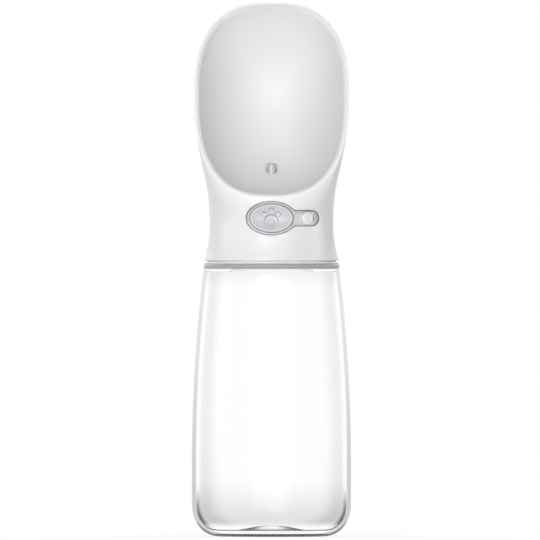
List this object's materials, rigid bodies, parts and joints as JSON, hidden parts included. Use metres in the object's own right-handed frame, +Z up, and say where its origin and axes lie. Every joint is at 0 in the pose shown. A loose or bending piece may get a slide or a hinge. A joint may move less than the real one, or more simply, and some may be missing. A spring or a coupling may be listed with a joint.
{
  "type": "dog travel water bottle",
  "caption": "Clear water bottle screwed under a white head with a slanted drinking bowl, a push-button water valve and a sliding lock knob.",
  "frame": {"origin": "middle of the bottle's base, on the surface it stands on", "axes": "+Z up along the bottle; the bowl opens and the button faces towards -Y; the lock knob is on the +X side"},
  "size_m": [0.0662, 0.0662, 0.222],
  "materials": {
    "clear_bottle": "clear, polished",
    "white_shell": "glossy",
    "white_bowl": "satin",
    "white_cap": "satin",
    "grey_ring": "matte silicone",
    "soft_seal": "matte silicone",
    "control_grey": "satin",
    "button_grey": "satin",
    "knob_grey": "glossy",
    "mechanism": "moulded",
    "steel": "plain"
  },
  "bodies": {
    "bottle": {"bottle": "clear_bottle"},
    "ring": {"seal_ring": "grey_ring"},
    "head": {"neck_gasket": "soft_seal", "inner_cap": "white_cap", "head_shell": "white_shell", "bowl": "white_bowl", "control_plate": "control_grey", "control_plate_screws": "steel", "valve_housing": "mechanism", "housing_gasket": "soft_seal", "housing_screws": "steel", "stem_o_ring": "soft_seal", "valve_spring": "steel", "outlet_tube": "soft_seal", "outlet_nozzle": "white_cap"},
    "button": {"button_cap": "button_grey", "button_carriage": "mechanism"},
    "valve": {"valve_stem": "mechanism", "valve_plug": "soft_seal", "stem_cap": "mechanism"},
    "lock": {"lock_knob": "knob_grey", "lock_latch": "mechanism"}
  },
  "joints": [
    {"name": "head_lift", "type": "slide", "parent": "bottle", "child": "ring", "axis": [0, 0, 1], "range_m": [0, 0.015]},
    {"name": "head_turn", "type": "hinge", "parent": "ring", "child": "head", "pos_m": [0, 0, 0.12], "axis": [0, 0, 1], "range_deg": [0, 900]},
    {"name": "button_press", "type": "slide", "parent": "head", "child": "button", "axis": [0, 1, 0], "range_m": [0, 0.003], "stiffness_N_per_m": 600, "springref_m": -0.001},
    {"name": "valve_open", "type": "slide", "parent": "head", "child": "valve", "axis": [0, 0, -1], "range_m": [0, 0.002], "deforming": ["valve_spring"]},
    {"name": "lock_slide", "type": "slide", "parent": "head", "child": "lock", "axis": [0.809, 0.5878, 0], "range_m": [0, 0.0024]}
  ],
  "couplings": [
    {"joint": "head_turn", "follows": "head_lift", "rad_per_m": 1047.2},
    {"joint": "valve_open", "follows": "button_press", "ratio": 0.66667}
  ]
}
